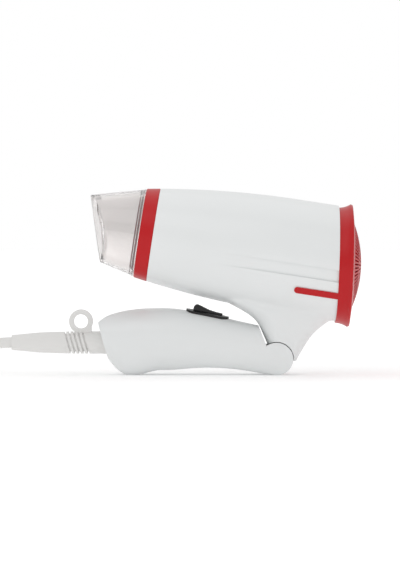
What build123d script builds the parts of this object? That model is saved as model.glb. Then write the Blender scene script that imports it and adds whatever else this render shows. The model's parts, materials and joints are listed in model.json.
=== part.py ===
from build123d import *
from math import atan2, cos, degrees, pi, radians, sin, sqrt, tan
import os

# A folding travel hair dryer, standing folded on the heel and toe of its handle.
# +X runs towards the inlet grille, +Y across the dryer, +Z up; its middle plane is y = 0.
os.makedirs("parts", exist_ok=True)

# ---- driving dimensions, mm ----
wall = 2.2                  # moulded casings
run_gap = 0.3               # between curved faces that turn past each other
pin_gap = 0.05              # radial clearance of a shaft in its bore

# fold hinge
pivot_x, pivot_z = 29.7, 9.8
pin_r = 2.5
ear_gap = 0.5               # between the handle's ears and the neck round them
tongue_half = 7.7
hinge_half = 13.0           # half the pin's length
fold_range = 90.0

# handle: from the pivot to the far end
handle_length = 106.0
handle_width = 36.0
end_lean = 15.5             # the far end face leans this far from upright, degrees

# barrel, along its own axis from the middle of the outlet ring
barrel_tilt = 8.8
outlet_x, outlet_z = -47.9, 84.3
barrel_length = 115.4
outlet_r = 28.1
belly_r = 34.4
ring_half = 4.1
ring_lip_r = 26.9
spigot_r = 25.4
rear_tilt = 1.8             # the inlet stands almost upright

# neck, running into the barrel with a soft blend
neck_width = 30.0
blend_r = 6.0
join_low, join_high = 32.0, 56.0

# inlet cover
cover_lip_r = 36.8
cover_depth = 7.8
cover_crown = 6.8
grille_r = 25.5
slot_count = 66
slot_width = 1.0

# concentrator nozzle
nozzle_r = 26.3
nozzle_wall = 1.6
mouth_half = 7.0            # half the mouth's width, across the dryer
mouth_top = (-36.6, 17.7)   # mouth's upper and lower corners, along and above the barrel's axis
mouth_low = (-24.9, -21.5)
facet_angle = 74.0          # between the mouth line and the steep sides, seen in plan

# rocker switch
switch_x = -11.5
switch_lean = 11.6
bezel_length, bezel_width = 26.0, 17.0
rocker_length, rocker_width = 18.6, 8.6
rocker_range = 18.0

# mains lead
cord_d = 6.4
boot_r = 6.7
boot_end_x = -129.0
boot_z = 19.2
loop_r = 4.2
coil_r = 38.4               # middle of the wound turns
coil_x, coil_y = -193.0, 24.0
tie_t = 0.8

ear_r = pivot_z             # the ears' round comes down to the surface
side = Plane(origin=(0, 0, 0), x_dir=(1, 0, 0), z_dir=(0, -1, 0))   # drawn as (x, z)
barrel_place = Location((outlet_x, 0, outlet_z), (0, barrel_tilt, 0))
tilt = radians(barrel_tilt)
big = 400.0

nodes = {}


def along(u, v):
    """World x and z of a point u along the barrel's axis and v above it."""
    return (outlet_x + u * cos(tilt) + v * sin(tilt), outlet_z - u * sin(tilt) + v * cos(tilt))


rear_x, rear_z = along(barrel_length, -1.1)
rear_place = Location((rear_x, 0, rear_z), (0, rear_tilt, 0))


def tube_x(r_out, r_in, start, end):
    """A round tube along X."""
    tube = Cylinder(r_out, end - start) - (Cylinder(r_in, 2 * (end - start)) if r_in else [])
    return Pos((start + end) / 2, 0, 0) * Rot(0, 90, 0) * tube


def rod_y(r, x, z, low, high):
    """A round bar across the dryer."""
    return Pos(x, (low + high) / 2, z) * Rot(90, 0, 0) * Cylinder(r, high - low)


def turned(points):
    """Revolves straight runs through (along, radius) points about the X axis."""
    return revolve(Plane.XZ * make_face(Polyline(*points, close=True)), Axis.X)


def prism_y(sketch, half):
    """A side-view sketch carried half each way across the dryer."""
    return extrude(side * sketch, half, both=True)


def blank(x, z, length, width, height):
    return Pos(x, 0, z) * Box(length, width, height)


# ---- handle ----
# each station: share of the length from the pivot, underside, top, share of the width, corner
handle_stations = [
    (-0.116, -1.2, 24.0, 0.83, 9.0), (0.016, -0.6, 27.6, 0.84, 10.6), (0.092, 1.0, 29.2, 0.87, 11.6),
    (0.233, 3.3, 32.6, 0.92, 13.2), (0.422, 4.1, 36.9, 0.97, 14.6), (0.610, 2.8, 39.8, 1.0, 15.8),
    (0.752, 0.5, 39.6, 1.0, 16.2), (0.837, -0.25, 38.6, 0.97, 15.6), (0.903, 3.6, 37.1, 0.93, 14.6),
    (0.959, 11.0, 35.0, 0.86, 11.2), (1.016, 15.8, 30.6, 0.76, 7.0),
]


def handle_form(inset):
    sections = []
    for share, low, high, wide, corner in handle_stations:
        spot = Plane(origin=(pivot_x - share * handle_length, 0, (low + high) / 2),
                     x_dir=(0, 1, 0), z_dir=(1, 0, 0))
        width = handle_width * wide - 2 * inset
        sections.append(spot * RectangleRounded(width, high - low - 2 * inset, corner - inset))
    return loft(sections)


end_x = pivot_x - handle_length           # the far end face at the top
lean = tan(radians(end_lean))
ear_top = 128.0                           # where the ears' round meets the end face, degrees


def on_ear(angle, r=ear_r):
    return (pivot_x + r * cos(radians(angle)), pivot_z + r * sin(radians(angle)))


def end_plane_x(z, back=0.0):
    """X of the leaning end face at a height, moved back into the handle."""
    return end_x + 0.2 + lean * (28.5 - z) + back


def handle_mask(back):
    """Side outline: leaning far end, flat underside, round ears and the face against the neck."""
    outline = Polyline((12.6, 46), (end_plane_x(46, back), 46), (end_plane_x(back, back), back),
                       (pivot_x, back))
    outline += ThreePointArc((pivot_x, back), on_ear(20, ear_r - back), on_ear(ear_top, ear_r - back))
    outline += Line(on_ear(ear_top, ear_r - back), (12.6, 46))
    return prism_y(make_face(outline), 40)


handle_solid = handle_form(0) & handle_mask(0)
cavity_end = pivot_x - 24.0               # solid between here and the hinge slot
cavity = handle_form(wall) & handle_mask(wall) & blank(cavity_end - 60, 20, 120, 80, 80)

# leaning frame of the switch, on the handle's top
switch_z = 36.4
switch_place = Location((switch_x, 0, switch_z), (0, switch_lean, 0))
opening = switch_place * Box(bezel_length - 3.0, bezel_width - 3.0, 20)

# screws across the handle and the neck: (x, z, half width of the casing there)
screw_r, screw_head_r, boss_r = 1.25, 2.6, 3.4


def boss_pair(spots):
    return Compound([rod_y(boss_r, x, z, -20, 20) for x, z in spots])


def screw_bores(spots):
    """Blind hole in the left casing, stepped hole in the right one."""
    bores = []
    for x, z in spots:
        bores.append(rod_y(screw_r, x, z, -8, 9))
        bores.append(rod_y(screw_head_r, x, z, 9, 40))
    return bores


def screw(x, z):
    body = rod_y(screw_r, x, z, -8, 9) + rod_y(screw_head_r, x, z, 9, 11)
    return body - Pos(x, 11, z) * Box(3.4, 1.4, 0.8) - Pos(x, 11, z) * Box(0.8, 1.4, 3.4)


handle_spots = [(-42.0, 11.0), (-1.0, 13.0)]
neck_spots = [(32.0, 29.0), (49.0, 31.0)]

# the lead's strain relief enters the far end along an almost level axis
boot_root_x = end_plane_x(boot_z)
gland_r = 5.0
flange_r = gland_r + 1.6
gland_x = boot_root_x + wall + flange_r * lean + 0.2

detent_r, detent_nose_x = 2.4, pivot_x - 9.4 - run_gap - 0.3
handle_shell = handle_solid - cavity
handle_shell += boss_pair(handle_spots) & handle_solid
handle_shell -= rod_y(ear_r + ear_gap - 0.1, pivot_x, pivot_z, -tongue_half - run_gap, tongue_half + run_gap)
handle_shell -= rod_y(pin_r, pivot_x, pivot_z, -hinge_half, hinge_half)
handle_shell -= opening
handle_shell -= Pos(0, 0, boot_z) * tube_x(gland_r, 0, end_x - 10, gland_x + 5)
handle_shell -= Pos(0, 0, pivot_z) * tube_x(detent_r + pin_gap, 0, cavity_end + 3, pivot_x)
for bore in screw_bores(handle_spots):
    handle_shell -= bore


def halves(solid, name):
    """Left and right casings meet on the middle plane; left is towards -Y."""
    nodes[name + "_left"] = solid & Pos(0, -big / 2, 0) * Box(big * 2, big, big * 2)
    nodes[name + "_right"] = solid & Pos(0, big / 2, 0) * Box(big * 2, big, big * 2)


halves(handle_shell, "handle_shell")
nodes["handle_screws"] = Compound([screw(x, z) for x, z in handle_spots])
nodes["hinge_pin"] = rod_y(pin_r, pivot_x, pivot_z, -hinge_half, hinge_half)

# ---- rocker switch, drawn flat and then laid on the handle's top ----
bezel = Box(bezel_length, bezel_width, 9) & Pos(0, 0, 0) * extrude(
    RectangleRounded(bezel_length, bezel_width, 5.0), 4.5, both=True)
crown = switch_place.inverse() * handle_form(-1.3)
bezel = bezel & crown
bezel_hole = Box(rocker_length + 1.8, rocker_width + 0.6, 30)
bezel -= bezel_hole
bezel -= switch_place.inverse() * (handle_shell + [])
bezel_seat = Pos(0, 0, -5.5) * Box(bezel_length - 3.0, bezel_width - 3.0, 6) - bezel_hole
bezel = (bezel + bezel_seat) - rod_y(1.0, 0, -1.5, -5.9, 5.9)
nodes["switch_bezel"] = switch_place * bezel

rocker_side = Polyline((-9.0, -2.4), (-8.9, 2.6), (-8.0, 4.1), (-6.8, 4.5), (-4.6, 4.0), (0.6, 2.6),
                       (5.0, 2.1), (8.8, 2.0), (9.2, -1.6), (4.0, -4.2), (-4.6, -4.2), close=True)
rocker = extrude(side * make_face(rocker_side), rocker_width / 2, both=True)
rocker -= rod_y(1.0 + pin_gap, 0, -1.5, -10, 10)
nodes["switch_rocker"] = switch_place * rocker
nodes["rocker_pin"] = switch_place * rod_y(1.0, 0, -1.5, -5.9, 5.9)
switch_box = Pos(0, 0, -14.0) * Box(19.0, 11.0, 11.0)
nodes["switch_body"] = switch_place * (switch_box + Pos(0, 0, -9.1) * Box(23.0, 12.0, 1.2))
nodes["switch_terminals"] = switch_place * Compound(
    [Pos(x, 0, -22.0) * Box(0.8, 4.8, 5.0) for x in (-6.5, 0, 6.5)])

# ---- inside the handle: detent, cord clamp, lead wires ----
plunger_back = cavity_end + 10.0
nose = Pos(detent_nose_x - 1.6, 0, pivot_z) * Sphere(1.6)
nodes["detent_plunger"] = nose + Pos(0, 0, pivot_z) * tube_x(detent_r, 0, plunger_back, detent_nose_x - 1.6)
spring_turns = Helix(pitch=(plunger_back - cavity_end - 4.0) / 4, height=plunger_back - cavity_end - 4.0,
                     radius=1.7)
spring = sweep(Plane(spring_turns @ 0, z_dir=spring_turns % 0) * Circle(0.3), spring_turns)
nodes["detent_spring"] = Pos(cavity_end + 3.5, 0, pivot_z) * Rot(0, 90, 0) * spring

clamp_x = gland_x + 12.0
cord_hole = Pos(clamp_x, 0, boot_z) * Rot(0, 90, 0) * Cylinder(cord_d / 2, 20)
clamp_low = blank(clamp_x, boot_z - 3.4, 7.0, 20.0, 6.4)
clamp_top = blank(clamp_x, boot_z + 3.0, 7.0, 20.0, 6.0)
nodes["cord_clamp_base"] = clamp_low - cord_hole
nodes["cord_clamp_bridge"] = clamp_top - cord_hole
for y in (-7.2, 7.2):
    hole = Pos(clamp_x, y, boot_z) * Cylinder(screw_r, 12.6)
    nodes["cord_clamp_base"] -= hole
    nodes["cord_clamp_bridge"] -= hole
clamp_screw = Pos(0, 0, 6.9) * Cylinder(2.3, 1.8) + Cylinder(screw_r, 12.0)
nodes["cord_clamp_screws"] = Compound([Pos(clamp_x, y, boot_z) * clamp_screw for y in (-7.2, 7.2)])

wires = []
for sign, end in ((-1, -6.5), (1, 6.5)):
    stop = switch_place * Pos(end, sign * 1.2, -25.0)
    target = stop.position
    route = [(clamp_x + 14, sign * 1.5, boot_z), (clamp_x + 18, sign * 1.5, boot_z),
             (target.X - 7, sign * 2.0, 8.6), (target.X - 0.5, sign * 1.2, 9.2),
             (target.X, target.Y, target.Z)]
    line = FilletPolyline(*route, radius=1.6)
    wires.append(sweep(Plane(line @ 0, z_dir=line % 0) * Circle(0.9), line))
nodes["lead_wires"] = Compound(wires)
jacket = Pos(0, 0, boot_z) * tube_x(cord_d / 2, 0, gland_x + 3.2, clamp_x + 14)
nodes["lead_jacket_end"] = jacket

# ---- strain relief with its hang loop ----
boot_taper = [(boot_root_x + 8, boot_r + 0.6), (boot_root_x - 1.5, boot_r), (-86.0, boot_r),
              (-96.0, boot_r - 0.1), (-112.0, 6.1), (boot_end_x, 4.5)]
boot = turned([(boot_root_x + 8, 0)] + boot_taper + [(boot_end_x, 0)])
groove_pitch, groove_count = 2.6, 5
for i in range(groove_count):
    ring = Cylinder(9, 1.1) - Cylinder(boot_r - 1.1, 1.1)
    boot -= Pos(-95.0 + i * groove_pitch, 0, 0) * Rot(0, 90 - 16, 0) * ring
loop_x, loop_z = -87.4, 31.9 - boot_z
eye = rod_y(loop_r + 3.0, loop_x, loop_z, -2, 2) + prism_y(
    Pos(loop_x + 1.2, loop_z / 2 + 1) * Rectangle(10.5, loop_z - 4), 2)
eye -= rod_y(loop_r, loop_x, loop_z, -9, 9)
boot = Pos(0, 0, boot_z) * (boot + eye)
boot -= handle_form(0) & handle_mask(0)
inner = tube_x(gland_r, 0, boot_root_x - 4, gland_x) + tube_x(flange_r, 0, gland_x, gland_x + 3.2)
boot += Pos(0, 0, boot_z) * inner
nodes["strain_relief"] = boot

# ---- mains lead: short visible run, wound coil on the surface, tail up to the plug lying on it ----
turn_r = coil_r + cord_d / 2         # outer and inner turns
inner_turn_r = coil_r - cord_d / 2
coil_top = tie_t + 3 * cord_d
coil_body = Pos(coil_x, coil_y, tie_t + 1.5 * cord_d) * (
    Cylinder(coil_r + cord_d, 3 * cord_d) - Cylinder(coil_r - cord_d, 3 * cord_d))
nodes["cord_coil"] = coil_body


def lead(points):
    """A round lead along straight runs joined by tangent arcs."""
    radii = []
    for before, here, after in zip(points, points[1:], points[2:]):
        a, b = Vector(*here) - Vector(*before), Vector(*after) - Vector(*here)
        radii.append(0.45 * min(a.length, b.length) / tan(radians(a.get_angle(b) / 2)))
    print("lead radii", [round(r, 1) for r in radii])
    line = FilletPolyline(*points, radius=radii)
    return sweep(Plane(line @ 0, z_dir=line % 0) * Circle(cord_d / 2), line)


# a gentle bend from the boot into the outer top turn
lead_points = [(boot_end_x, 0, boot_z), (-143.6, 0, 18.7), (-160.0, -5.2, 17.6), (-174.0, -15.0, 16.9)]
nodes["cord_lead"] = lead(lead_points) - coil_body - boot

# the tail leaves the lowest inner turn, climbs inside the coil and rises to the plug
tail_r = coil_r - 1.5 * cord_d - 0.4
tail_route = [(inner_turn_r, -16.0), ((inner_turn_r + tail_r) / 2, -16.0)]
tail_route += [(tail_r, height) for height in (-12.8, -9.0, -5.2, -1.4, 2.4, 6.2, 9.2)]
tail_step = 30.0
tail_points = []
for i, (radius, height) in enumerate(tail_route):
    angle = radians(165.0 - tail_step * i)
    reach = radius / cos(radians(tail_step / 2))
    tail_points.append((coil_x + reach * cos(angle), coil_y + reach * sin(angle), coil_top + height))
plug_x, plug_y, plug_z = coil_x - 8.0, coil_y - tail_r, coil_top + tail_route[-1][1]
nodes["cord_tail"] = lead(tail_points + [(plug_x, plug_y, plug_z)]) - coil_body
tie_place = Pos(coil_x, coil_y, 0) * Rot(0, 0, 190) * Pos(coil_r, 0, coil_top / 2 + tie_t / 2)
tie = Box(2 * cord_d + 2 * tie_t, 7.0, 3 * cord_d + 2 * tie_t) - Box(2 * cord_d + 0.02, 8.0, 3 * cord_d)
nodes["cord_tie"] = tie_place * tie - coil_body

plug_place = Pos(plug_x, plug_y, plug_z)
grip = [Plane(origin=(x, 0, 0), x_dir=(0, 1, 0), z_dir=(-1, 0, 0)) * RectangleRounded(w, h, r)
        for x, w, h, r in ((0, 8.6, 8.6, 4.2), (-9, 10.5, 10.5, 5.0), (-15, 24.0, 16.0, 7.5),
                           (-26, 33.0, 17.6, 8.0), (-34, 35.0, 18.0, 8.2))]
nodes["plug_body"] = plug_place * loft(grip)
plug_pins = [Pos(0, y, 0) * tube_x(2.4, 0, -53, -34) for y in (-9.5, 9.5)]
nodes["plug_pins"] = plug_place * Compound(plug_pins)

# ---- barrel casing ----
def barrel_radius(u):
    """Outer radius of the barrel's smooth taper."""
    rise = min(max((u - ring_half) / (0.72 * barrel_length), 0), 1)
    return outlet_r + (belly_r - outlet_r) * (1 - (1 - rise) ** 2)


def barrel_form(inset_at, start, end):
    """The barrel's round body along X, set in by a depth that may vary along it."""
    stations = [start + (end - start) * i / 8 for i in range(9)]
    edge = Spline(*[(u, barrel_radius(u) - inset_at(u)) for u in stations])
    outline = edge + Polyline(edge @ 1, (end, 0), (start, 0), edge @ 0)
    return revolve(Plane.XZ * make_face(outline), Axis.X)


rear_half = rear_place * Pos(-big / 2, 0, 0) * Box(big, big, big)
barrel_out = barrel_place * barrel_form(lambda u: 0.0, ring_half, barrel_length + 12) & rear_half
barrel_in = barrel_place * barrel_form(lambda u: wall, ring_half - 0.1, barrel_length + 12)

# each station of the neck: height, front, rear, share of the width, corner
neck_stations = [(6.0, 27.6, 41.0, 0.97, 6.0), (14.0, 25.8, 44.4, 1.0, 7.5), (20.0, 23.8, 48.2, 1.0, 8.5),
                 (25.0, 21.6, 52.2, 1.01, 9.5), (30.0, 19.2, 58.2, 1.03, 11.0), (34.0, 15.8, 63.6, 1.05, 12.5),
                 (40.0, 6.6, 67.0, 1.08, 13.5), (48.0, -7.0, 68.0, 1.1, 14.5), (58.0, -7.0, 68.0, 1.02, 13.0)]


def neck_form(inset):
    sections = []
    for z, front, rear, wide, corner in neck_stations:
        width = neck_width * wide
        spot = Plane(origin=((front + rear) / 2, 0, z))
        sections.append(spot * RectangleRounded(rear - front - 2 * inset, width - 2 * inset, corner - inset))
    return loft(sections)


neck_floor = 8.6                 # the neck's rear tip ends here
neck_out = neck_form(0) & rear_half
neck_out -= rod_y(ear_r + ear_gap, pivot_x, pivot_z, -40, 40)
neck_out &= blank(pivot_x, neck_floor + 50, big, big, 100)
tongue = rod_y(ear_r - 0.4, pivot_x, pivot_z, -tongue_half, tongue_half)
tongue += blank(pivot_x + 2.0, pivot_z + 9.0, 14.0, 2 * tongue_half, 14.0)
neck_in = (neck_form(wall) & blank(pivot_x, pivot_z + 14.4 + 50, big, big, 100)) & rear_half

casing = barrel_out + neck_out
joins = [e for e in casing.edges() if e.geom_type == GeomType.BSPLINE and abs(e.center().Y) < neck_width / 2 + 4
         and e.bounding_box().min.Z > join_low and e.bounding_box().max.Z < join_high]
casing = fillet(joins, blend_r)
barrel_shell = casing + tongue
barrel_shell -= barrel_in
barrel_shell -= neck_in
barrel_shell += (boss_pair(neck_spots) & neck_out) - barrel_in
barrel_shell -= rod_y(pin_r + pin_gap, pivot_x, pivot_z, -20, 20)
for bore in screw_bores(neck_spots):
    barrel_shell -= bore
spigot = tube_x(spigot_r, spigot_r - 2.0, 0.4, ring_half + 1.8)
spigot += tube_x(outlet_r - 0.8, spigot_r - 2.0, ring_half, ring_half + 1.8)
barrel_shell += barrel_place * spigot

# shallow band along each side, fading in towards the inlet
band_low, band_high, band_start, band_depth = -10.9, -3.7, 46.0, 0.85


def band_inset(u):
    return band_depth * min(max((u - band_start) / 34.0, 0), 1)


band_cut = barrel_form(lambda u: -3.0, band_start, barrel_length + 12)
band_cut -= barrel_form(band_inset, band_start - 1, barrel_length + 13)
band_cut &= blank(band_start + 60, (band_low + band_high) / 2, 120, big, band_high - band_low)
barrel_shell -= barrel_place * band_cut

# accent strips: let into the casing, their front ends round
strip_v, strip_width, strip_start, strip_proud = -19.0, 3.7, 91.4, 0.5
strip_face = Pos(strip_start + 25, strip_v) * SlotOverall(50, strip_width)
strip_prism = prism_y(strip_face, 60)
strip_band = barrel_form(lambda u: -strip_proud, strip_start - 5, barrel_length + 12)
strip_band -= barrel_form(lambda u: 1.0, strip_start - 6, barrel_length + 13)
strips = barrel_place * (strip_band & strip_prism) & rear_half
barrel_shell -= strips
halves(strips, "accent_strip")
halves(barrel_shell, "barrel_shell")
nodes["barrel_screws"] = Compound([screw(x, z) for x, z in neck_spots])

# ---- outlet ring and nozzle ----
ring_seat = 0.4
nodes["outlet_ring"] = barrel_place * turned([
    (-ring_half, 24.6), (-ring_half, ring_lip_r - 0.5), (-ring_half + 0.5, ring_lip_r),
    (ring_half - 0.4, outlet_r), (ring_half, outlet_r - 0.3), (ring_half, spigot_r),
    (ring_seat, spigot_r), (ring_seat, 24.6)])

collar_r = 24.6 - run_gap
cone_start = -ring_half - 0.4
cone_slope = (nozzle_r - mouth_top[1] - 0.4) / (cone_start - mouth_top[0])
mouth_line = Vector(mouth_low[0] - mouth_top[0], mouth_low[1] - mouth_top[1])
mouth_turn = degrees(atan2(mouth_low[0] - mouth_top[0], mouth_top[1] - mouth_low[1]))


def cone(inset, start):
    """The nozzle's round taper, running on past its mouth."""
    far = -44.0
    return turned([(start, 0), (start, nozzle_r - inset), (far, nozzle_r - inset + cone_slope * (far - start)),
                   (far, 0)])


def wedge(shift, half):
    """What the two steep facets and the mouth leave, drawn in plan and carried along the mouth line."""
    reach = 60 / tan(radians(facet_angle))
    plan = Polyline((shift, -half), (shift + reach, -half - 60), (80, -half - 60), (80, half + 60),
                    (shift + reach, half + 60), (shift, half), close=True)
    body = extrude(make_face(plan), 80, both=True)
    return Pos(mouth_top[0], 0, mouth_top[1]) * Rot(0, -mouth_turn, 0) * body


nozzle_out = cone(0, cone_start) & wedge(0, mouth_half)
nozzle_in = cone(nozzle_wall, cone_start + 0.01) & wedge(nozzle_wall * 1.05, mouth_half - 1.3)
slot_depth = 12.0
mouth_span = mouth_line.length
mouth_slot = Pos(0, 0, -mouth_span / 2) * Box(slot_depth, 2 * (mouth_half - 1.2), mouth_span - 2.6)
mouth_slot = Pos(mouth_top[0], 0, mouth_top[1]) * Rot(0, -mouth_turn, 0) * mouth_slot
collar = tube_x(collar_r, collar_r - nozzle_wall, cone_start - 2.4, -0.6)
nozzle = (nozzle_out - nozzle_in - mouth_slot)
shoulder = tube_x(nozzle_r - 0.4, collar_r - nozzle_wall, cone_start - 1.2, cone_start)
nozzle = nozzle + shoulder + collar
nodes["nozzle"] = barrel_place * nozzle

# ---- inlet cover: flared ring with a domed grille of radial slots ----
cover_seat_r = barrel_radius(barrel_length) + 0.2
face_x = cover_depth + 1.8
skin_t = 2.2
dome_rise = cover_crown - 1.8
dome_r = (grille_r ** 2 + dome_rise ** 2) / (2 * dome_rise)     # a cap of a ball behind the rim
dome_x = face_x + dome_rise


def dome_edge(r, back):
    """A point of the domed face at a radius, or of its back."""
    return (dome_x - dome_r + sqrt((dome_r - back) ** 2 - r * r), r)


flare = Spline((0, cover_seat_r), (0.45 * cover_depth, cover_seat_r + 0.5), (cover_depth - 0.6, cover_lip_r))
wall_line = flare + Polyline(flare @ 1, (cover_depth + 0.4, cover_lip_r - 0.4), dome_edge(grille_r, 0))
wall_line += ThreePointArc(dome_edge(grille_r, 0), dome_edge(grille_r / 2, 0), dome_edge(0, 0))
wall_line += Line(dome_edge(0, 0), dome_edge(0, skin_t))
wall_line += ThreePointArc(dome_edge(0, skin_t), dome_edge(grille_r / 2, skin_t), dome_edge(grille_r, skin_t))
wall_line += Polyline(dome_edge(grille_r, skin_t), (cover_depth - 1.6, cover_lip_r - 3.6),
                      (0, cover_seat_r - 2.4), (0, cover_seat_r))
cover = revolve(Plane.XZ * make_face(wall_line), Axis.X)
slot_rings = [(slot_count, 0.68 * grille_r, grille_r - 0.4), (slot_count // 2, 0.36 * grille_r, 0.62 * grille_r)]
for count, inner, outer in slot_rings:
    slot = Pos(face_x, 0, (inner + outer) / 2) * Box(30, slot_width, outer - inner)
    cover -= [Rot(360 / count * i, 0, 0) * slot for i in range(count)]
nodes["inlet_cover"] = rear_place * cover

# ---- inside the barrel, each along the barrel's axis ----
grille_seat_r = spigot_r - 2.0
outlet = tube_x(grille_seat_r, grille_seat_r - 2.0, 0.8, 3.4) + tube_x(7.0, 5.6, 0.8, 3.4)
outlet += tube_x(14.6, 13.2, 0.8, 3.4)
spoke = Box(2.6, 1.4, grille_seat_r - 7.0)
outlet += [Rot(45 * i, 0, 0) * Pos(2.1, 0, (grille_seat_r + 5.0) / 2) * spoke for i in range(8)]
nodes["outlet_grille"] = barrel_place * outlet

screen_u = barrel_length - belly_r * tan(radians(barrel_tilt - rear_tilt)) - 2.2
fan_depth = 14.0
fan_u = screen_u - 3.0 - fan_depth
motor_length, motor_r = 27.0, 13.8
motor_u = fan_u - 3.0 - motor_length
heater_u, heater_gap = 6.0, 4.0
heater_end = motor_u - 4.0 - heater_gap
sleeve_r, sleeve_t = 24.2, 0.6
board_half, board_t = sleeve_r - sleeve_t - 0.2, 0.9
heater_mid, heater_length = (heater_u + heater_end) / 2, heater_end - heater_u
nodes["mica_sleeve"] = barrel_place * tube_x(sleeve_r, sleeve_r - sleeve_t, heater_u, heater_end)
board = Pos(heater_mid, 0, 0) * Box(heater_length - 2.0, board_t, 2 * board_half)
cross = board + Rot(90, 0, 0) * board
wire_r, winding_r = 0.7, 17.5
winding_turns = 7
winding_length = heater_length - 12.0
winding_line = Helix(pitch=winding_length / winding_turns, height=winding_length, radius=winding_r)
winding = sweep(Plane(winding_line @ 0, z_dir=winding_line % 0) * Circle(wire_r), winding_line)
nodes["heating_coil"] = barrel_place * Pos(heater_mid - winding_length / 2, 0, 0) * Rot(0, 90, 0) * winding
nodes["heater_boards"] = barrel_place * cross
nodes["thermostat"] = barrel_place * Pos(heater_end - 12, 5.0, board_t / 2 + 1.5) * Box(12, 6, 3)
nodes["thermal_fuse"] = barrel_place * Pos(heater_end - 12, -5.0, board_t / 2 + 1.4) * Rot(0, 90, 0) * (
    Cylinder(1.4, 9) + Cylinder(0.4, 16))

shaft_r = 1.15
can = tube_x(motor_r, 0, motor_u, motor_u + motor_length) - tube_x(motor_r - 0.9, 0, motor_u - 1,
                                                                   motor_u + motor_length - 0.9)
can -= tube_x(shaft_r + pin_gap, 0, motor_u - 5, motor_u + motor_length + 5)
nodes["motor_can"] = barrel_place * can
cap = tube_x(motor_r - 0.9, shaft_r + pin_gap, motor_u, motor_u + 2.4)
nodes["motor_end_cap"] = barrel_place * (cap + tube_x(4.0, shaft_r + pin_gap, motor_u - 1.6, motor_u))
armature = tube_x(8.2, 0, motor_u + 6.0, motor_u + motor_length - 6.0)
armature += tube_x(shaft_r, 0, motor_u - 1.0, fan_u + fan_depth - 1.0)
nodes["motor_shaft"] = barrel_place * armature

guide_r = barrel_radius(motor_u) - wall - 0.1
guide = tube_x(motor_r + 1.5, motor_r, motor_u + 3, motor_u + motor_length - 0.5)
guide += tube_x(guide_r, guide_r - 1.2, motor_u + 3, motor_u + motor_length - 0.5)
vane_span = guide_r - 0.6 - motor_r - 0.8
vane = Pos(motor_u + 14.5, 0, motor_r + 0.8 + vane_span / 2) * Rot(0, 0, 18) * Box(17, 1.1, vane_span)
guide += [Rot(360 / 7 * i, 0, 0) * vane for i in range(7)]
nodes["air_guide"] = barrel_place * guide
nodes["rectifier_board"] = barrel_place * Pos(motor_u - 2.4, 0, 0) * (
    Box(1.6, 20, 14) + [Pos(-2.0, y, z) * Box(2.6, 5, 2.6) for y in (-5, 5) for z in (-3.5, 3.5)])

fan_r = belly_r - wall - 1.6
hub = tube_x(9.0, 0, fan_u, fan_u + fan_depth - 1.0)
hub -= tube_x(shaft_r, 0, fan_u - 1, fan_u + fan_depth)
blade_span = fan_r - 8.4
blade = Pos(fan_u + fan_depth / 2, 0, 8.4 + blade_span / 2) * Rot(0, 0, 42) * Box(fan_depth, 1.2, blade_span)
nodes["fan_impeller"] = barrel_place * (hub + [Rot(40 * i, 0, 0) * blade for i in range(9)])

screen_r = belly_r - wall - 0.3
screen = tube_x(screen_r, screen_r - 1.6, screen_u, screen_u + 1.0)
bar_pitch = 4.2
bar_half_count = int((screen_r - 0.8) / bar_pitch)
for i in range(-bar_half_count, bar_half_count + 1):
    reach = sqrt((screen_r - 0.8) ** 2 - (bar_pitch * i) ** 2)
    bar = Pos(screen_u + 0.5, bar_pitch * i, 0) * Box(0.7, 0.7, 2 * reach)
    screen += [bar, Rot(90, 0, 0) * bar]
nodes["inlet_screen"] = barrel_place * screen

# ---- the dryer's middle stands over the origin ----
lead_nodes = ("strain_relief", "cord_lead", "cord_coil", "cord_tail", "cord_tie", "plug_body", "plug_pins")
boxes = [shape.bounding_box() for name, shape in nodes.items() if name not in lead_nodes]
shift = -(min(b.min.X for b in boxes) + max(b.max.X for b in boxes)) / 2
print("shift", round(shift, 4))
for name, shape in nodes.items():
    export_step(Compound(list(shape.solids())).moved(Location((shift, 0, 0))), f"parts/{name}.step")
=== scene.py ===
import json
from math import cos, pi, radians, sin
import bpy
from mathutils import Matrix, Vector


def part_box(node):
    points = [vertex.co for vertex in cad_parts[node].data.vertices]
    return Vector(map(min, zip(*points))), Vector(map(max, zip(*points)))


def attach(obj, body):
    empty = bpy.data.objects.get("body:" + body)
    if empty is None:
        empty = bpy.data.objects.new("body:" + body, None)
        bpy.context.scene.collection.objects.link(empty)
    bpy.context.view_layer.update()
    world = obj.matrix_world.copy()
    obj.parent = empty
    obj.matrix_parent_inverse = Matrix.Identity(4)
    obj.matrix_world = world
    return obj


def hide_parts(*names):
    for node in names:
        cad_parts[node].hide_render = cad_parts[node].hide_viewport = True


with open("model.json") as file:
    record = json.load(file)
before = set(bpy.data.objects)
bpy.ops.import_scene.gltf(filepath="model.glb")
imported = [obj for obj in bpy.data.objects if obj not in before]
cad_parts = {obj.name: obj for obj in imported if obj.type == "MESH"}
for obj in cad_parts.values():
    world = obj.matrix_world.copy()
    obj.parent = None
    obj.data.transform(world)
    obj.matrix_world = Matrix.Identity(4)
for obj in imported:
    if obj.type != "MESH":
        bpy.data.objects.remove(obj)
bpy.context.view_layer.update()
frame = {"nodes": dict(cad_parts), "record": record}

mm = 0.001
dryer = frame["nodes"]


# sRGB hex to linear colour
def hexColour(code):
    parts = [int(code[i:i + 2], 16) / 255 for i in (0, 2, 4)]
    return [c / 12.92 if c <= 0.04045 else ((c + 0.055) / 1.055) ** 2.4 for c in parts] + [1.0]


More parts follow.
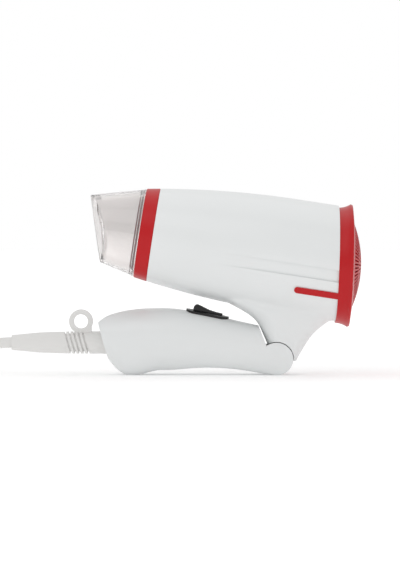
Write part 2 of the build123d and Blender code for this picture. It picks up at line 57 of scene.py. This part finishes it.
# adds a node, sets its properties and sockets, and links sockets given as (node, output);
# i0, i1 and so on stand for sockets that share a name
def addNode(tree, kind, settings=None, **sockets):
    node = tree.nodes.new(kind)
    for name, value in (settings or {}).items():
        setattr(node, name, value)
    for name, value in sockets.items():
        byNumber = name[0] == "i" and name[1:].isdigit()
        socket = node.inputs[int(name[1:]) if byNumber else name.replace("_", " ")]
        if isinstance(value, tuple) and len(value) == 2 and hasattr(value[0], "outputs"):
            tree.links.new(value[0].outputs[value[1]], socket)
        else:
            socket.default_value = value
    return node


def newMaterial(name):
    material = bpy.data.materials.new(name)
    material.use_nodes = True
    tree = material.node_tree
    tree.nodes.clear()
    shader = addNode(tree, "ShaderNodeBsdfPrincipled")
    output = addNode(tree, "ShaderNodeOutputMaterial")
    tree.links.new(shader.outputs["BSDF"], output.inputs["Surface"])
    return material, tree, shader


def objectPlace(tree, scale=(1, 1, 1)):
    place = addNode(tree, "ShaderNodeTexCoord")
    return addNode(tree, "ShaderNodeMapping", Vector=(place, "Object"), Scale=scale)


# spreads a changing value between two ends and feeds it to one socket
def spread(tree, value, low, high, shader, socket):
    gloss = addNode(tree, "ShaderNodeMapRange", Value=value, To_Min=low, To_Max=high)
    tree.links.new(gloss.outputs["Result"], shader.inputs[socket])


# a colour that drifts between two hex tones
def twoTone(tree, value, low, high, shader):
    tone = addNode(tree, "ShaderNodeMix", {"data_type": "RGBA"}, i0=value, i6=hexColour(low),
                   i7=hexColour(high))
    tree.links.new(tone.outputs[2], shader.inputs["Base Color"])


# moulded plastic: fine spark texture in the gloss and bump, with a faint drift of tone
def mouldedPlastic(name, look):
    material, tree, shader = newMaterial(name)
    place = objectPlace(tree)
    drift = addNode(tree, "ShaderNodeTexNoise", Vector=(place, "Vector"), Scale=18.0, Detail=3.0)
    twoTone(tree, (drift, "Fac"), look["low"], look["high"], shader)
    grain = addNode(tree, "ShaderNodeTexNoise", Vector=(place, "Vector"), Scale=1 / (look["grain"] * mm),
                    Detail=2.0)
    spread(tree, (drift, "Fac"), look["rough"] - 0.04, look["rough"] + 0.05, shader, "Roughness")
    bump = addNode(tree, "ShaderNodeBump", Strength=look["bump"], Distance=0.00008, Height=(grain, "Fac"))
    tree.links.new(bump.outputs["Normal"], shader.inputs["Normal"])
    shader.inputs["IOR"].default_value = look.get("ior", 1.53)
    shader.inputs["Coat Weight"].default_value = look.get("coat", 0.0)
    shader.inputs["Coat Roughness"].default_value = 0.08
    return material


plasticLooks = {
    # ABS casing, polished mould: clean satin white with a soft highlight
    "absWhiteSatin": {"low": "E2E4E4", "high": "E8EAEA", "grain": 0.5, "rough": 0.32, "bump": 0.05, "coat": 0.1},
    # ABS trim in signal red, same mould finish, a little glossier
    "absRedGloss": {"low": "B4000A", "high": "BE020E", "grain": 0.6, "rough": 0.36, "bump": 0.05, "ior": 1.4},
    # polycarbonate rocker and bezel, polished black
    "pcBlackGloss": {"low": "080808", "high": "0E0E0E", "grain": 0.5, "rough": 0.22, "bump": 0.06, "ior": 1.45},
    # soft PVC of the lead, boot and plug: matt warm grey with a fine skin
    "pvcPaleGrey": {"low": "DEDDDB", "high": "E4E3E1", "grain": 0.35, "rough": 0.48, "bump": 0.15},
    # PA66 inner mouldings, unpolished dark grey
    "nylonDarkGrey": {"low": "303235", "high": "3B3D40", "grain": 0.4, "rough": 0.55, "bump": 0.25},
    # phenolic outlet grille, heat-proof matt black
    "phenolicBlack": {"low": "121212", "high": "1B1A19", "grain": 0.4, "rough": 0.5, "bump": 0.2},
    # PE twist tie, milky
    "tieMilkyPe": {"low": "EDEDEB", "high": "F4F4F2", "grain": 0.4, "rough": 0.4, "bump": 0.1},
    # silicone wire insulation, blue
    "siliconeBlue": {"low": "24408A", "high": "2C4B9A", "grain": 0.3, "rough": 0.45, "bump": 0.1},
    # paper phenolic board, brown
    "boardBrown": {"low": "7A4E22", "high": "8A5A28", "grain": 0.3, "rough": 0.5, "bump": 0.15},
    # steatite fuse body, off-white
    "steatiteWhite": {"low": "D9D6CE", "high": "E4E1DA", "grain": 0.25, "rough": 0.55, "bump": 0.2},
}


# metal: drawn or plated, with streaks along one direction
def drawnMetal(name, look):
    material, tree, shader = newMaterial(name)
    place = objectPlace(tree, scale=look["streak"])
    streaks = addNode(tree, "ShaderNodeTexNoise", Vector=(place, "Vector"), Scale=2000.0, Detail=3.0)
    spread(tree, (streaks, "Fac"), look["rough"] - 0.06, look["rough"] + 0.1, shader, "Roughness")
    bump = addNode(tree, "ShaderNodeBump", Strength=0.12, Distance=0.00004, Height=(streaks, "Fac"))
    tree.links.new(bump.outputs["Normal"], shader.inputs["Normal"])
    shader.inputs["Base Color"].default_value = hexColour(look["colour"])
    shader.inputs["Metallic"].default_value = 1.0
    return material


metalLooks = {
    "zincPlatedSteel": {"colour": "B9BBBD", "rough": 0.28, "streak": (1, 1, 6)},       # screws, pins, shaft
    "nickelPlatedBrass": {"colour": "CFC9BC", "rough": 0.16, "streak": (0.2, 1, 1)},  # plug pins, terminals
    "rolledMotorSteel": {"colour": "8E9094", "rough": 0.34, "streak": (0.15, 1, 1)},   # motor can
    "oxidisedHeaterWire": {"colour": "6E655C", "rough": 0.45, "streak": (1, 1, 1)},    # heating wire
    "blackenedMesh": {"colour": "2B2B2B", "rough": 0.5, "streak": (1, 1, 1)},          # inlet screen
}


# clear styrene-acrylonitrile nozzle: see-through, a faint warm tint in its thickness, polished
def clearNozzlePlastic():
    material, tree, shader = newMaterial("sanClearTint")
    place = objectPlace(tree)
    haze = addNode(tree, "ShaderNodeTexNoise", Vector=(place, "Vector"), Scale=60.0, Detail=2.0)
    spread(tree, (haze, "Fac"), 0.06, 0.12, shader, "Roughness")
    shader.inputs["Base Color"].default_value = hexColour("FBF8F7")
    shader.inputs["Transmission Weight"].default_value = 0.92
    shader.inputs["IOR"].default_value = 1.45
    return material


# mica sheet: flaky pale gold with darker layers
def micaSheet():
    material, tree, shader = newMaterial("micaSheet")
    place = objectPlace(tree)
    flakes = addNode(tree, "ShaderNodeTexVoronoi", Vector=(place, "Vector"), Scale=400.0)
    twoTone(tree, (flakes, "Distance"), "BFAE86", "93805A", shader)
    shader.inputs["Roughness"].default_value = 0.35
    shader.inputs["Sheen Weight"].default_value = 0.1
    return material


materials = {name: mouldedPlastic(name, look) for name, look in plasticLooks.items()}
materials.update({name: drawnMetal(name, look) for name, look in metalLooks.items()})
materials["sanClearTint"] = clearNozzlePlastic()
materials["micaSheet"] = micaSheet()

finishOfSlot = {
    "white_shell": "absWhiteSatin", "red_trim": "absRedGloss", "clear_nozzle": "sanClearTint",
    "black_switch": "pcBlackGloss", "pale_pvc": "pvcPaleGrey", "tie_plastic": "tieMilkyPe",
    "plated_brass": "nickelPlatedBrass", "zinc_steel": "zincPlatedSteel", "motor_steel": "rolledMotorSteel",
    "grey_nylon": "nylonDarkGrey", "black_grille": "phenolicBlack", "screen_mesh": "blackenedMesh",
    "wire_insulation": "siliconeBlue", "mica": "micaSheet", "heating_wire": "oxidisedHeaterWire",
    "fuse_ceramic": "steatiteWhite", "circuit_board": "boardBrown",
}
slotOf = {part["node"]: part["material_slot"] for part in frame["record"]["subparts"]}
for name, slot in slotOf.items():
    part = dryer[name]
    part.data.materials.clear()
    part.data.materials.append(materials[finishOfSlot[slot]])
print("materials on", len(slotOf), "nodes")


# a node tree with named inputs, given as label: (socket kind, value)
def newTree(name, inputs):
    tree = bpy.data.node_groups.new(name, "GeometryNodeTree")
    tree.interface.new_socket(name="Mesh", in_out="OUTPUT", socket_type="NodeSocketGeometry")
    for label, (kind, value) in inputs.items():
        socket = tree.interface.new_socket(name=label, in_out="INPUT", socket_type="NodeSocket" + kind)
        if value is not None:
            socket.default_value = value
    return tree, addNode(tree, "NodeGroupInput"), addNode(tree, "NodeGroupOutput")


# runs a tree once with its values and keeps the mesh it makes
def grow(name, tree, values):
    piece = bpy.data.objects.new(name, bpy.data.meshes.new(name))
    bpy.context.scene.collection.objects.link(piece)
    modifier = piece.modifiers.new(name, "NODES")
    modifier.node_group = tree
    for socket in tree.interface.items_tree:
        if socket.in_out == "INPUT" and socket.name in values:
            modifier[socket.identifier] = values[socket.name]
    shaped = piece.evaluated_get(bpy.context.evaluated_depsgraph_get())
    mesh = bpy.data.meshes.new_from_object(shaped)
    piece.modifiers.clear()
    piece.data = mesh
    mesh.name = name
    return piece


def mathNode(tree, operation, first, second=0.0):
    return addNode(tree, "ShaderNodeMath", {"operation": operation}, i0=first, i1=second), "Value"


# joins instances with a turned or mirrored copy, sets them in place, and ends as one dressed mesh
def finishTree(tree, source, sink, instances, turn="Turn", **copy):
    twin = addNode(tree, "GeometryNodeTransform", Geometry=instances, **copy)
    both = addNode(tree, "GeometryNodeJoinGeometry", Geometry=instances)
    tree.links.new(twin.outputs["Geometry"], both.inputs["Geometry"])
    placed = addNode(tree, "GeometryNodeTransform", Geometry=(both, "Geometry"),
                     Translation=(source, "Place"), Rotation=(source, turn))
    solid = addNode(tree, "GeometryNodeRealizeInstances", Geometry=(placed, "Geometry"))
    dressed = addNode(tree, "GeometryNodeSetMaterial", Geometry=(solid, "Geometry"),
                      Material=(source, "Finish"))
    tree.links.new(dressed.outputs["Geometry"], sink.inputs["Mesh"])


# ---- fine wire cloth stretched over the bars of the inlet screen ----
tree, source, sink = newTree("wireCloth", {
    "Radius": ("Float", 0.03), "Spacing": ("Float", 0.001), "Wire": ("Float", 0.0001), "Seed": ("Int", 1),
    "Place": ("Vector", None), "Turn": ("Vector", None), "Finish": ("Material", None)})
rim = (source, "Radius")
count = mathNode(tree, "MULTIPLY", mathNode(tree, "DIVIDE", rim, (source, "Spacing")), 2.0)
startAt = addNode(tree, "ShaderNodeCombineXYZ", Y=mathNode(tree, "MULTIPLY", rim, -0.985))
stepBy = addNode(tree, "ShaderNodeCombineXYZ", Y=(source, "Spacing"))
line = addNode(tree, "GeometryNodeMeshLine", Count=count, Start_Location=(startAt, "Vector"),
               Offset=(stepBy, "Vector"))
strand = addNode(tree, "GeometryNodeMeshCylinder", Vertices=5, Radius=(source, "Wire"), Depth=2.0)
# half a strand's length is the round rim's half chord at its place
place = addNode(tree, "GeometryNodeInputPosition")
parted = addNode(tree, "ShaderNodeSeparateXYZ", Vector=(place, "Position"))
offSquare = mathNode(tree, "MULTIPLY", (parted, "Y"), (parted, "Y"))
chordSquare = mathNode(tree, "SUBTRACT", mathNode(tree, "MULTIPLY", rim, rim), offSquare)
chord = mathNode(tree, "SQRT", mathNode(tree, "MAXIMUM", chordSquare))
gauge = addNode(tree, "FunctionNodeRandomValue", {"data_type": "FLOAT"}, i2=0.85, i3=1.15,
                Seed=(source, "Seed"))
size = addNode(tree, "ShaderNodeCombineXYZ", X=(gauge, 1), Y=(gauge, 1), Z=chord)
strands = addNode(tree, "GeometryNodeInstanceOnPoints", Points=(line, "Mesh"), Instance=(strand, "Mesh"),
                  Scale=(size, "Vector"))
lift = addNode(tree, "ShaderNodeCombineXYZ", X=(source, "Wire"))
finishTree(tree, source, sink, (strands, "Instances"), Translation=(lift, "Vector"),
           Rotation=(pi / 2, 0.0, 0.0))

cloth = {"radius": 31.0, "spacing": 1.5, "wire": 0.13, "tilt": 8.8, "seed": 11}
low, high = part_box("inlet_screen")
wireCloth = grow("wireCloth", tree, {
    "Radius": cloth["radius"] * mm, "Spacing": cloth["spacing"] * mm, "Wire": cloth["wire"] * mm,
    "Seed": cloth["seed"], "Place": (low + high) / 2, "Turn": (0.0, radians(cloth["tilt"]), 0.0),
    "Finish": materials["blackenedMesh"]})
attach(wireCloth, "barrel")
print("wire cloth of", len(wireCloth.data.polygons), "faces")

# ---- finger ribs on both sides of the plug ----
tree, source, sink = newTree("gripRibs", {
    "Count": ("Int", 4), "Pitch": ("Float", 0.003), "Length": ("Float", 0.01), "Radius": ("Float", 0.0005),
    "Half": ("Float", 0.01), "Seed": ("Int", 1), "Place": ("Vector", None), "Turn": ("Vector", None),
    "Finish": ("Material", None)})
stepBy = addNode(tree, "ShaderNodeCombineXYZ", X=(source, "Pitch"))
sideways = addNode(tree, "ShaderNodeCombineXYZ", Y=(source, "Half"))
line = addNode(tree, "GeometryNodeMeshLine", Count=(source, "Count"), Start_Location=(sideways, "Vector"),
               Offset=(stepBy, "Vector"))
bar = addNode(tree, "GeometryNodeMeshCylinder", Vertices=12, Radius=(source, "Radius"),
              Depth=(source, "Length"))
wear = addNode(tree, "FunctionNodeRandomValue", {"data_type": "FLOAT"}, i2=0.97, i3=1.03,
               Seed=(source, "Seed"))
bars = addNode(tree, "GeometryNodeInstanceOnPoints", Points=(line, "Mesh"), Instance=(bar, "Mesh"),
               Scale=(wear, 1))
finishTree(tree, source, sink, (bars, "Instances"), Scale=(1.0, -1.0, 1.0))

ribs = {"count": 4, "pitch": 2.6, "length": 10.0, "radius": 0.7, "half": 8.6, "back": 17.0, "seed": 3}
low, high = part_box("plug_body")
middle = (low + high) / 2
plugRibs = grow("plugRibs", tree, {
    "Count": ribs["count"], "Pitch": ribs["pitch"] * mm, "Length": ribs["length"] * mm,
    "Radius": ribs["radius"] * mm, "Half": ribs["half"] * mm, "Seed": ribs["seed"],
    "Place": (high.x - ribs["back"] * mm, middle.y, middle.z), "Finish": materials["pvcPaleGrey"]})
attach(plugRibs, "handle")
print("plug ribs of", len(plugRibs.data.polygons), "faces")

# ---- mains lead: one smooth line from the boot, wound down the coil and up its middle to the plug ----
lead = {
    "diameter": 6.4, "bootEnd": -129.0, "bootHeight": 19.2, "coilX": -193.0, "coilY": 24.0,
    "coilMean": 38.4, "tie": 0.8, "settle": 36.0, "entry": -35.0, "turnStep": 12.0,
    "tailHeights": (-12.8, -9.0, -5.2, -1.4, 2.4, 6.2, 9.2),
}
# the whole frame's offset along X, read from the boot's tip
lead["shift"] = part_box("strain_relief")[0][0] / mm - lead["bootEnd"]
leadR = lead["diameter"] / 2
outerR, innerR = lead["coilMean"] + leadR, lead["coilMean"] - leadR
tailR = lead["coilMean"] - 3 * leadR - 0.4
coilTop = lead["tie"] + 3 * lead["diameter"]
layers = [coilTop - leadR - lead["diameter"] * i for i in range(3)]
# rings in the order they are wound: radius and height
rings = [(outerR, layers[0]), (innerR, layers[0]), (innerR, layers[1]),
         (outerR, layers[1]), (outerR, layers[2]), (innerR, layers[2])]


def onCoil(travelled, radius, height, step):
    angle = radians(-90.0 - travelled)
    reach = radius / cos(radians(step / 2))
    return (lead["coilX"] + reach * cos(angle), lead["coilY"] + reach * sin(angle), height)


# radius and height of the winding at an angle travelled since it began; each ring hands over a step earlier
def coilState(travelled):
    settle, start = lead["settle"], 0.0
    for i, (radius, height) in enumerate(rings[:-1]):
        length = 360.0 if i == 0 else 360.0 - settle
        handOver = start + length - settle
        if travelled <= handOver:
            return radius, height
        if travelled < start + length:
            share = (travelled - handOver) / settle
            share = share * share * (3 - 2 * share)
            nextR, nextH = rings[i + 1]
            return radius + (nextR - radius) * share, height + (nextH - height) * share
        start += length
    return rings[-1]


leadPoints = [(lead["bootEnd"], 0, lead["bootHeight"]), (-143.6, 0, 18.7), (-160.0, -5.2, 17.6)]
# the last turn ends where the tail's own points begin, 225 degrees round
coilEnd = 6 * 360.0 - 225.0 - lead["entry"]
turn = lead["turnStep"]
while turn < coilEnd - lead["turnStep"]:
    leadPoints.append(onCoil(turn + lead["entry"], *coilState(turn), lead["turnStep"]))
    turn += lead["turnStep"]
leadPoints.append(onCoil(-225.0, (innerR + tailR) / 2, layers[2], 30.0))
for i, height in enumerate(lead["tailHeights"]):
    leadPoints.append(onCoil(-195.0 + 30.0 * i, tailR, coilTop + height, 30.0))
leadPoints.append((lead["coilX"] - 8.0, lead["coilY"] - tailR, coilTop + lead["tailHeights"][-1]))


def leadCurve(name, points, radius):
    data = bpy.data.curves.new(name, "CURVE")
    data.dimensions = "3D"
    spline = data.splines.new("NURBS")
    spline.points.add(len(points) - 1)
    for point, (x, y, z) in zip(spline.points, points):
        point.co = ((x + lead["shift"]) * mm, y * mm, z * mm, 1.0)
    spline.order_u = 3
    spline.use_endpoint_u = True
    spline.resolution_u = 6
    data.bevel_depth = radius * mm
    data.bevel_resolution = 6
    data.use_fill_caps = True
    piece = bpy.data.objects.new(name, data)
    bpy.context.scene.collection.objects.link(piece)
    return piece


mainsLead = leadCurve("mainsLead", leadPoints, leadR)
mainsLead.data.materials.append(materials["pvcPaleGrey"])
total = sum((Vector(a) - Vector(b)).length for a, b in zip(leadPoints, leadPoints[1:])) * mm
print("lead runs add up to", round(total, 3), "m")
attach(mainsLead, "handle")
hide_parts("cord_lead", "cord_coil", "cord_tail")

# ---- floor, light and camera ----
world = bpy.data.worlds.new("softStudio")
bpy.context.scene.world = world
world.use_nodes = True
white = (1.0, 1.0, 1.0, 1.0)
worldTree = world.node_tree
sky = worldTree.nodes["Background"]
sky.inputs["Color"].default_value = white
sky.inputs["Strength"].default_value = 0.7
# the lens sees plain white behind the floor, the object sees a softer sky
paper = addNode(worldTree, "ShaderNodeBackground", Color=white, Strength=1.0)
path = addNode(worldTree, "ShaderNodeLightPath")
seen = addNode(worldTree, "ShaderNodeMixShader", Fac=(path, "Is Camera Ray"), i1=(sky, "Background"),
               i2=(paper, "Background"))
worldTree.links.new(seen.outputs["Shader"], worldTree.nodes["World Output"].inputs["Surface"])
floorMesh = bpy.data.meshes.new("floor")
floorMesh.from_pydata([(-6, -4, 0), (6, -4, 0), (6, 8, 0), (-6, 8, 0)], [], [(0, 1, 2, 3)])
floor = bpy.data.objects.new("floor", floorMesh)
bpy.context.scene.collection.objects.link(floor)
floorFinish, floorTree, floorShader = newMaterial("paperFloor")
floorShader.inputs["Base Color"].default_value = hexColour("FAFAFA")
floorShader.inputs["Roughness"].default_value = 0.9
# painted light: the floor glows white on top of the light it gets from the lamps
floorShader.inputs["Emission Color"].default_value = white
# painted light and shade: the paper glows a little more away from the object and less near it, a painted shade
# round the object, so its shadow stays and the far edge does not darken
spot = objectPlace(floorTree)
away = addNode(floorTree, "ShaderNodeVectorMath", {"operation": "LENGTH"}, i0=(spot, "Vector"))
paintedFloorGlow = addNode(floorTree, "ShaderNodeMapRange", {"interpolation_type": "SMOOTHSTEP"}, Value=(away, "Value"),
               From_Min=0.15, From_Max=1.2, To_Min=0.17, To_Max=0.40)
floorTree.links.new(paintedFloorGlow.outputs["Result"], floorShader.inputs["Emission Strength"])
floorMesh.materials.append(floorFinish)

lamps = {
    "keySoftbox": {"at": (-0.5, -1.1, 1.3), "size": 1.2, "power": 3.4},
    "fillSoftbox": {"at": (0.9, -0.9, 0.7), "size": 1.0, "power": 0.5},
    "topSoftbox": {"at": (0.0, 0.3, 1.4), "size": 1.4, "power": 3.4},
    "backSoftbox": {"at": (0.3, 1.4, 0.9), "size": 1.2, "power": 0.9},
}
for name, lamp in lamps.items():
    light = bpy.data.lights.new(name, "AREA")
    light.size = lamp["size"]
    light.energy = lamp["power"]
    stand = bpy.data.objects.new(name, light)
    stand.location = lamp["at"]
    aim = Vector((0, 0, 0.06)) - Vector(lamp["at"])
    stand.rotation_euler = aim.to_track_quat("-Z", "Y").to_euler()
    bpy.context.scene.collection.objects.link(stand)

view = {"distance": 1.71, "lens": 180.0, "aim": (-0.0156, 0.0, 0.0537), "elevation": 1.2}
cameraData = bpy.data.cameras.new("camera")
cameraData.lens = view["lens"]
cameraData.sensor_width = 36.0
camera = bpy.data.objects.new("camera", cameraData)
aim = Vector(view["aim"])
rise = radians(view["elevation"])
camera.location = aim + Vector((0, -cos(rise), sin(rise))) * view["distance"]
camera.rotation_euler = (aim - camera.location).to_track_quat("-Z", "Y").to_euler()
bpy.context.scene.collection.objects.link(camera)
bpy.context.scene.camera = camera
bpy.context.scene.view_settings.view_transform = "Standard"
print("camera and lights set")
